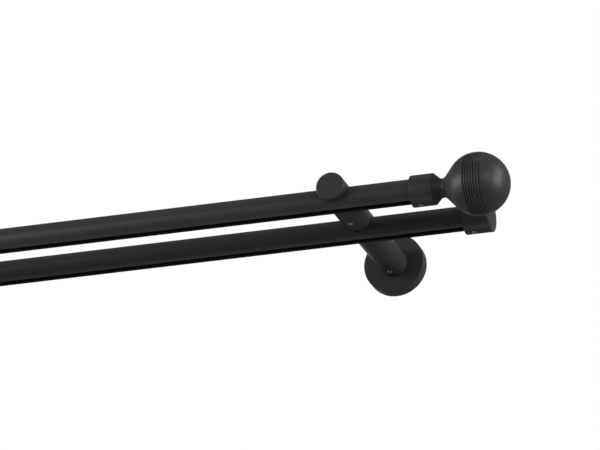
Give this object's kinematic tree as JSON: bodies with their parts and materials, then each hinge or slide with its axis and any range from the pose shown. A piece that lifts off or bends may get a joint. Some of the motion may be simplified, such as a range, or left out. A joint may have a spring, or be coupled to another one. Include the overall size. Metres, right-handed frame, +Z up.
{
  "type": "double curtain pole",
  "caption": "Two parallel round curtain poles with inner glider tracks, on two round wall brackets with rosettes, grooved ball finials at the front and plain end caps at the rear.",
  "frame": {"origin": "on the wall plane, midway between the two brackets, at the height of the bracket arms' axes", "axes": "+X along the poles, +Y into the wall, +Z up"},
  "size_m": [1.13, 0.1906, 0.0569],
  "materials": {
    "pole_black": "matt black powder coat on extruded aluminium",
    "bracket_black": "matt black powder coat on turned aluminium",
    "ball_black": "satin black lacquer on turned aluminium",
    "plated_steel": "zinc plated",
    "screw_steel": "blackened, with bright rims"
  },
  "bodies": {
    "root": {"front_pole": "pole_black", "left_arm_nose": "bracket_black", "left_arm_screw": "screw_steel", "left_cap_screw": "screw_steel", "left_finial_ball": "ball_black", "left_finial_screw": "screw_steel", "left_finial_sleeve": "bracket_black", "left_finial_stud": "plated_steel", "left_front_arm": "bracket_black", "left_rear_arm": "bracket_black", "left_rear_cap": "bracket_black", "left_rosette": "bracket_black", "left_tie_rod": "plated_steel", "left_tie_rod_screw": "screw_steel", "left_wall_plate": "plated_steel", "rear_pole": "pole_black", "right_arm_nose": "bracket_black", "right_arm_screw": "screw_steel", "right_cap_screw": "screw_steel", "right_finial_ball": "ball_black", "right_finial_screw": "screw_steel", "right_finial_sleeve": "bracket_black", "right_finial_stud": "plated_steel", "right_front_arm": "bracket_black", "right_rear_arm": "bracket_black", "right_rear_cap": "bracket_black", "right_rosette": "bracket_black", "right_tie_rod": "plated_steel", "right_tie_rod_screw": "screw_steel", "right_wall_plate": "plated_steel"}
  },
  "joints": []
}
